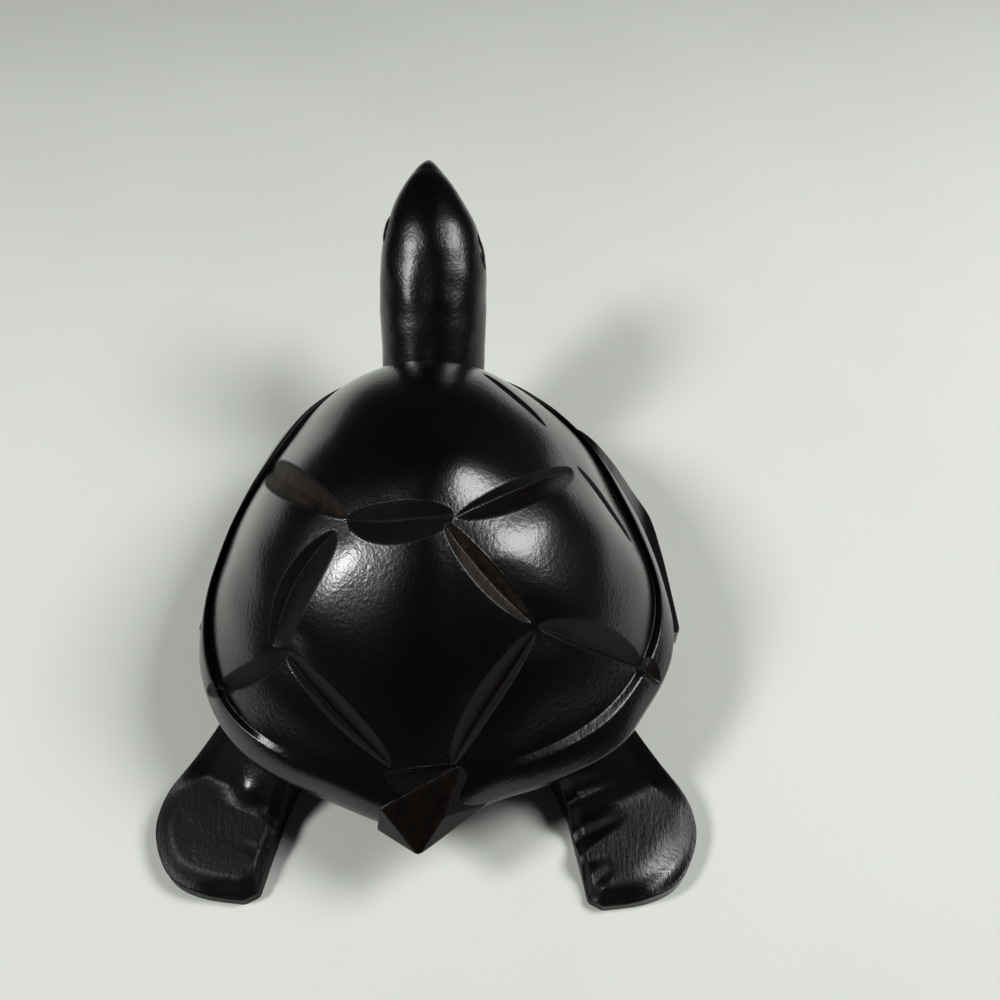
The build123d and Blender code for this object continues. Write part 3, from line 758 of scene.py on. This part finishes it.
def flipper_grid(outline, middle, top_of, under_of, seat, scoops=()):
    """Rings from the middle of a flipper's top, out over its edge and back under it."""
    reach = np.linalg.norm(outline - middle, axis=1)
    steps = int(reach.mean() / flipper_step)
    shares = np.linspace(1 / steps, 1, steps)
    edge_shares = 1 - edge_round / reach.mean() * (1 - np.sin(np.linspace(0, pi / 2, edge_rings)))
    shares = np.concatenate([shares[shares < edge_shares[0] - edge_gap / steps], edge_shares])
    facing, stand = seat

    def seated(plan, level):
        """Points of the flipper, held at the side of the belly block."""
        deep = (rim_height - plan[:, 1] * tan(shell_pitch) - level) / belly_depth
        shrink = 1 - (1 - belly_taper) * np.clip(deep, 0, 1)
        short = np.maximum(stand * shrink + joint_room - plan @ facing, 0)
        return np.column_stack([plan + short[:, None] * facing, level])

    def top_ring(share, hollows):
        """One ring of the top, with its hollows and rounded edge, kept under the shell."""
        plan = middle + (outline - middle) * share
        inside = (1 - share) * reach
        level = top_of(plan, inside)
        for hollow in hollows:
            level = scooped(level, plan, hollow)
        level = np.maximum(level, under_of(plan) + scoop_floor)
        lack = np.clip(edge_round - inside, 0, edge_round)
        level = level - edge_round + np.sqrt(edge_round ** 2 - lack ** 2)
        under_shell = rim_height - plan[:, 1] * tan(shell_pitch) - joint_room
        return seated(plan, smooth_min(level, under_shell, shell_soft))

    def rings_of(hollows):
        """All rings, top, side and underside."""
        rings = [top_ring(share, hollows) for share in shares]
        top_rows = len(rings)
        top_edge = rings[-1][:, 2]
        low_edge = under_of(outline)
        for share in np.linspace(0, 1, side_rings)[1:]:
            rings.append(seated(outline, top_edge + (low_edge - top_edge) * share))
        for share in np.linspace(*flipper_under_span, flipper_under_rings):
            plan = middle + (outline - middle) * share
            rings.append(seated(plan, under_of(plan)))
        return np.array(rings), top_rows

    grid, top_rows = rings_of(())
    if not scoops:
        return grid, top_rows
    outward = normals(grid)
    hollows = []
    for start, end, depth, wide in scoops:
        first, last = [at_pixel(grid, outward, pixel)[0][:2] for pixel in (start, end)]
        hollows.append((first, last, depth, wide))
    return rings_of(hollows)


def make_hind_flipper(side, name):
    """A hind paddle: a root that slopes down from the belly block to a blade that lies on the table."""
    root = np.array(paddle_roots[side]) * [side, 1]
    heading = np.array([side * sin(paddle_splay), cos(paddle_splay)])
    outward = np.array([side * cos(paddle_splay), -sin(paddle_splay)])

    def spot(share):
        """A place of the plan, from its shares of the paddle's length and width."""
        return root + heading * (share[0] * paddle_length) + outward * (share[1] * paddle_width)

    def top_of(plan, inside):
        """Heights of the top, from its edge in to its middle."""
        along = ((plan - root) @ heading) / paddle_length
        across = ((plan - root) @ outward) / paddle_width
        edge = height_at(paddle_top_shares, along, paddle_root_height)
        middle = height_at(paddle_middle_shares[side], along, paddle_root_height)
        crest = height_at(paddle_crest_shares, along, paddle_root_height)
        share = crest_size[side] * np.exp(-((across - crest_middle) / crest_width) ** 2)
        roll = roll_depth[side] * smooth_step(along + roll_slant * across, *roll_span)
        middle = middle + (crest - middle) * share - roll
        inner = 1 - smooth_step(across, *inner_span)
        edge = edge + (np.minimum(edge, middle) - edge) * inner
        level = edge + (middle - edge) * smooth_step(inside, 0, edge_blend)
        return level - inner_roll * inner * (1 - smooth_step(inside, 0, inner_roll_width))

    def under_of(plan):
        """Heights of the underside."""
        along = ((plan - root) @ heading) / paddle_length
        return height_at(paddle_under_shares, along, paddle_root_height)

    outer = open_curve([spot(share) for share in paddle_shares])
    inner = open_curve([spot(share) for share in paddle_inner_shares])
    corner = [spot(paddle_corner_share)]
    root_corners = [spot(share) for share in paddle_root_shares]
    outline = soft_loop([outer, corner, inner, root_corners], flipper_turns, flipper_round)
    if side < 0:
        outline = outline[::-1]
    grid, top_rows = flipper_grid(outline, spot(paddle_middle_share), top_of, under_of,
                                  belly_side(belly_rear_shares, side), toe_scoops[side])
    swell = waves(grid[:top_rows], flipper_swell_length, flipper_seed + side) - 1
    grid[:top_rows, :, 2] += flipper_swell * swell
    mask = empty_mask(grid)
    # The blade is dulled all round a polished patch at the highlight's pixel, a painted highlight
    middle = np.linalg.norm(pixels(grid) - blade_highlight_patch[side][0], axis=-1)
    mask["cut"] += blade_dull[side] * (1 - np.exp(-(middle / blade_highlight_patch[side][1]) ** 2))
    piece = ring_mesh(name, grid, mask)
    thin_out(piece, flipper_faces)
    return piece


def make_front_flipper(side, name):
    """A front flipper, bent down from the belly block and swept back."""

    def spot(share):
        """A place of the plan, from its shares of the flipper's length and reach."""
        return np.array([side * share[1] * front_reach, -front_start + share[0] * front_length])

    def top_of(plan, inside):
        """Heights of the top, the same at its edge and its middle."""
        return height_at(front_top_shares, side * plan[:, 0] / front_reach, front_root_height)

    def under_of(plan):
        """Heights of the underside."""
        return height_at(front_under_shares, side * plan[:, 0] / front_reach, front_root_height)

    outer = open_curve([spot(share) for share in front_outer_shares])
    tip = [spot(share) for share in front_tip_shares]
    inner = open_curve([spot(share) for share in front_inner_shares])
    outline = soft_loop([outer, tip, inner, [spot(front_root_share)]], flipper_turns, flipper_round)
    if side < 0:
        outline = outline[::-1]
    grid, _ = flipper_grid(outline, spot(front_middle_share), top_of, under_of,
                           belly_side(belly_front_shares, side))
    return ring_mesh(name, grid)


# Blocks with flat facets
bevel_rings = 3
bevel_fullness = 0.6
brown_of_dull = 0.4
flat_limit = radians(2)


def hull_piece(name, points, bevel, dull=0.0):
    """A carved block with flat facets and slightly rounded arrises."""
    mesh = bpy.data.meshes.new(name)
    work = bmesh.new()
    for point in places(points):
        work.verts.new(point)
    bmesh.ops.convex_hull(work, input=work.verts)
    bmesh.ops.dissolve_limit(work, angle_limit=flat_limit, verts=work.verts, edges=work.edges)
    bmesh.ops.bevel(work, geom=work.edges[:], offset=bevel * metre, segments=bevel_rings,
                    profile=bevel_fullness, affect="EDGES")
    bmesh.ops.triangulate(work, faces=work.faces)
    work.to_mesh(mesh)
    work.free()
    for key, value in (("cut", dull), ("worn", brown_of_dull * dull)):
        marks = mesh.attributes.new(key, "FLOAT", "POINT")
        marks.data.foreach_set("value", [value] * len(mesh.vertices))
    piece = bpy.data.objects.new(name, mesh)
    bpy.context.scene.collection.objects.link(piece)
    return piece


# Tail: pixels of its corners, each with its height over the rim's plane, and the corners of its seat in
# the shell, sideways and up
tail_corners = [
    ((377, 830), -0.6), ((418.5, 856.5), -0.8), ((488, 804), 0.9), ((476, 811), -0.6), ((404, 832), 1.5),
    ((399, 823), 3.4), ((380, 808), 5.6), ((449, 779), 9.3), ((443, 818), 4.4), ((460, 764), 11.0),
    ((431, 838), 1.6)]
tail_seat_back = 61.5
tail_base = [(10.6, 0.0), (1.0, 6.0), (-5.0, 6.0), (-14.2, 0.0), (-7.0, -8.4), (5.0, -8.4)]
tail_bevel = 0.35
tail_dull = 0.45


def at_level(pixel, level):
    """The place that shows at a pixel and lies at a height over the rim's plane."""
    across, down = (np.array(pixel) - image_size / 2) / focal
    ray = look + across * right - down * lift
    up = np.array([0, sin(shell_pitch), cos(shell_pitch)])
    start = np.array([0, 0, rim_height]) + up * level
    return eye + ray * ((start - eye) @ up) / (ray @ up)


def make_tail():
    """The wedge tail, let into the back of the shell."""
    points = [at_level(pixel, level) for pixel, level in tail_corners]
    points += list(from_shell([(x, tail_seat_back, z) for x, z in tail_base]))
    return hull_piece("carved_tail", points, tail_bevel, tail_dull)


def make_belly():
    """The belly block, a little smaller below than at the shell."""
    half = np.array([shell_width, shell_length]) / 2
    points = []
    for share, level in ((1.0, -joint_room), (belly_taper, -belly_depth)):
        for x, y in belly_shares:
            for side in (1, -1):
                points.append((side * x * half[0] * share, y * half[1] * share, level))
    return hull_piece("belly_block", from_shell(points), belly_bevel)


# Dark wood: a black stain with a little brown in it, and the bare wood that shows in worn cuts, each
# from its darker to its paler tone, with the share of the grain at which each tone is reached
stain_tones = ((0.0004, 0.0004, 0.0004, 1), (0.0012, 0.0008, 0.0006, 1))
stain_span = (0.40, 0.66)
bare_tones = ((0.0012, 0.0009, 0.0007, 1), (0.030, 0.0150, 0.0075, 1))
bare_span = (0.36, 0.70)
grain_share = 0.28
sheen_roughness = 0.14
cut_roughness = 0.60
rub_roughness = 0.10
polish_roughness = 0.27
polish_weight = 0.85
wood_reflection = 0.14
wood_ior = 1.5
stroke_turn = radians(35)
stroke_share = 0.6
tool_turn = radians(-40)
tool_share = 3.0
relief_height = 0.00012
relief_strength = 0.5

dowel_tones = ((0.20, 0.11, 0.05, 1), (0.42, 0.26, 0.13, 1))
dowel_roughness = 0.6
cloth_tones = ((0.66, 0.69, 0.64, 1), (0.74, 0.77, 0.72, 1))
cloth_roughness = 0.9
cloth_reflection = 0.2


def add(tree, kind, inputs=(), **settings):
    """A new node with its settings, its inputs set to values or linked to other nodes' outputs."""
    node = tree.nodes.new(kind)
    for key, value in settings.items():
        setattr(node, key, value)
    for key, value in dict(inputs).items():
        if isinstance(value, bpy.types.NodeSocket):
            tree.links.new(value, node.inputs[key])
        else:
            node.inputs[key].default_value = value
    return node


def noise(tree, place, scale, detail, roughness=0.5):
    """Uneven cloudy values from 0 to 1 over a place."""
    return add(tree, "ShaderNodeTexNoise", {"Vector": place, "Scale": scale, "Detail": detail,
                                            "Roughness": roughness}).outputs["Fac"]


def stretched(tree, place, share, turn=0):
    """A place whose pattern is drawn out along the wood, after a turn about the upright."""
    return add(tree, "ShaderNodeMapping", {"Vector": place, "Rotation": (0, 0, turn),
                                           "Scale": (1.0, share, 1.0)}).outputs["Vector"]


def two_tone(tree, value, tones, span=(0.0, 1.0)):
    """A colour that goes from the first tone to the second as a value crosses its span."""
    ramp = add(tree, "ShaderNodeValToRGB", {"Fac": value})
    for element, tone, position in zip(ramp.color_ramp.elements, tones, span):
        element.position = position
        element.color = tone
    return ramp.outputs["Color"]


def maths(tree, operation, *values):
    """The result of a sum over values."""
    return add(tree, "ShaderNodeMath", enumerate(values), operation=operation).outputs[0]


def from_cut(tree, cut, low, high):
    """A value that is low where the wood is polished and high where it is freshly cut and where it is
    dulled as painted shade.
    """
    node = add(tree, "ShaderNodeMapRange", {"Value": cut, "To Min": low, "To Max": high})
    return node.outputs["Result"]


def surface_material(name, build):
    """A material whose surface is what the build function makes from the object's own places."""
    material = bpy.data.materials.new(name)
    material.use_nodes = True
    tree = material.node_tree
    tree.nodes.clear()
    place = add(tree, "ShaderNodeTexCoord").outputs["Object"]
    shader = add(tree, "ShaderNodeBsdfPrincipled", build(tree, place))
    out = add(tree, "ShaderNodeOutputMaterial")
    tree.links.new(shader.outputs[0], out.inputs["Surface"])
    return material


def wood_colour(tree, place):
    """Black stain with soft brown clouds and grain, worn to bare wood in some of the cuts."""
    along = stretched(tree, place, share=0.16)
    cloud = noise(tree, place, scale=38.0, detail=4.0, roughness=0.6)
    grain = noise(tree, along, scale=900.0, detail=5.0, roughness=0.65)
    clouds = maths(tree, "MULTIPLY", cloud, 1 - grain_share)
    both = maths(tree, "MULTIPLY_ADD", grain, grain_share, clouds)
    stain = two_tone(tree, both, stain_tones, stain_span)
    fibre = noise(tree, along, scale=420.0, detail=6.0, roughness=0.7)
    bare = two_tone(tree, fibre, bare_tones, bare_span)
    worn = add(tree, "ShaderNodeAttribute", attribute_name="worn").outputs["Fac"]
    mix = add(tree, "ShaderNodeMix", {"Factor": worn, "A": stain, "B": bare}, data_type="RGBA")
    return mix.outputs["Result"]


def wood_relief(tree, place, cut):
    """Fine unevenness under the polish, and tool marks where the wood is cut."""
    peel = noise(tree, place, scale=900.0, detail=3.0, roughness=0.55)
    rubbed = stretched(tree, place, share=0.35, turn=stroke_turn)
    stroke = noise(tree, rubbed, scale=1500.0, detail=2.0)
    polished = maths(tree, "MULTIPLY_ADD", stroke, stroke_share, peel)
    scraped = stretched(tree, place, share=0.22, turn=tool_turn)
    tool = noise(tree, scraped, scale=1100.0, detail=4.0, roughness=0.7)
    height = maths(tree, "MULTIPLY_ADD", tool, maths(tree, "MULTIPLY", cut, tool_share), polished)
    bump = add(tree, "ShaderNodeBump", {"Height": height, "Strength": relief_strength,
                                        "Distance": relief_height})
    return bump.outputs["Normal"]


def dark_wood(tree, place):
    """Nearly black hardwood, polished except where it is cut and where it is dulled as painted shade."""
    cut = add(tree, "ShaderNodeAttribute", attribute_name="cut").outputs["Fac"]
    rub = noise(tree, place, scale=260.0, detail=5.0)
    matte = from_cut(tree, cut, sheen_roughness, cut_roughness)
    rough = maths(tree, "MULTIPLY_ADD", rub, rub_roughness, matte)
    normal = wood_relief(tree, place, cut)
    return {"Base Color": wood_colour(tree, place),
            "Roughness": maths(tree, "SUBTRACT", rough, rub_roughness / 2),
            "Normal": normal, "IOR": wood_ior, "Specular IOR Level": wood_reflection,
            "Coat Weight": from_cut(tree, cut, polish_weight, 0.0), "Coat Normal": normal,
            "Coat Roughness": polish_roughness, "Coat IOR": wood_ior}


def dowel_wood(tree, place):
    """Plain pale wood, for the dowels inside."""
    grain = noise(tree, stretched(tree, place, share=0.2), scale=700.0, detail=5.0)
    return {"Base Color": two_tone(tree, grain, dowel_tones), "Roughness": dowel_roughness}


def cloth(tree, place):
    """Plain pale cloth, for the floor."""
    folds = noise(tree, place, scale=9.0, detail=3.0)
    return {"Base Color": two_tone(tree, folds, cloth_tones),
            "Roughness": cloth_roughness, "Specular IOR Level": cloth_reflection}


# Stage, in metres: each lamp's heading from the turtle, the side of its square and its power
floor_reach = 0.75
lamp_distance = 0.9
lamps = {"left": ((0.64, 0.20, 0.74), 0.20, 4.7), "right": ((-0.64, -0.02, 0.77), 0.35, 6.2)}
world_dim = 0.02
world_pale = 0.78
world_tint = (1.0, 1.02, 0.98)
camera_near = 0.01


def make_floor():
    """A plain square of pale cloth."""
    mesh = bpy.data.meshes.new("floor")
    r = floor_reach
    mesh.from_pydata([(-r, -r, 0), (r, -r, 0), (r, r, 0), (-r, r, 0)], [], [(0, 1, 2, 3)])
    floor = bpy.data.objects.new("floor", mesh)
    floor.data.materials.append(surface_material("pale_cloth", cloth))
    bpy.context.scene.collection.objects.link(floor)


def make_lamps():
    """Soft square lamps that face the turtle."""
    for name, (way, size, power) in lamps.items():
        data = bpy.data.lights.new(f"lamp_{name}", "AREA")
        data.shape = "SQUARE"
        data.size = size
        data.energy = power
        lamp = bpy.data.objects.new(f"lamp_{name}", data)
        place = unit(way) * lamp_distance
        lamp.location = place
        lamp.rotation_euler = Vector(-place).to_track_quat("-Z", "Y").to_euler()
        bpy.context.scene.collection.objects.link(lamp)


def make_room():
    """A pale room to look at, which lights the turtle only dimly."""
    world = bpy.data.worlds.new("room")
    bpy.context.scene.world = world
    world.use_nodes = True
    tree = world.node_tree
    tree.nodes.clear()
    path = add(tree, "ShaderNodeLightPath")
    pale = tuple(world_pale * share for share in world_tint)
    glow = add(tree, "ShaderNodeMix", {"Factor": path.outputs["Is Camera Ray"],
                                       "A": (world_dim, world_dim, world_dim, 1), "B": (*pale, 1)},
               data_type="RGBA")
    back = add(tree, "ShaderNodeBackground", {"Color": glow.outputs["Result"], "Strength": 1.0})
    out = add(tree, "ShaderNodeOutputWorld")
    tree.links.new(back.outputs[0], out.inputs["Surface"])


def make_camera():
    """The camera of the photograph."""
    data = bpy.data.cameras.new("camera")
    data.sensor_width = sensor_width
    data.lens = camera_lens
    data.clip_start = camera_near
    camera = bpy.data.objects.new("camera", data)
    camera.location = places(eye)
    camera.rotation_euler = (pi / 2 - camera_pitch, 0, pi)
    bpy.context.scene.collection.objects.link(camera)
    bpy.context.scene.camera = camera


wood = surface_material("dark_polished_wood", dark_wood)
carved = {
    "carapace": make_shell(),
    "head_and_neck": make_head(),
    "tail": make_tail(),
    "plastron": make_belly(),
    "hind_flipper_left": make_hind_flipper(1, "carved_hind_flipper_left"),
    "hind_flipper_right": make_hind_flipper(-1, "carved_hind_flipper_right"),
    "front_flipper_left": make_front_flipper(1, "carved_front_flipper_left"),
    "front_flipper_right": make_front_flipper(-1, "carved_front_flipper_right")}
for node, piece in carved.items():
    piece.data.materials.append(wood)
    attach(piece, "root")
    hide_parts(node)
pale = surface_material("plain_dowel_wood", dowel_wood)
for name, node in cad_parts.items():
    if name not in carved:
        node.data.materials.clear()
        node.data.materials.append(pale)

make_floor()
make_lamps()
make_room()
make_camera()
bpy.context.scene.view_settings.view_transform = "Standard"
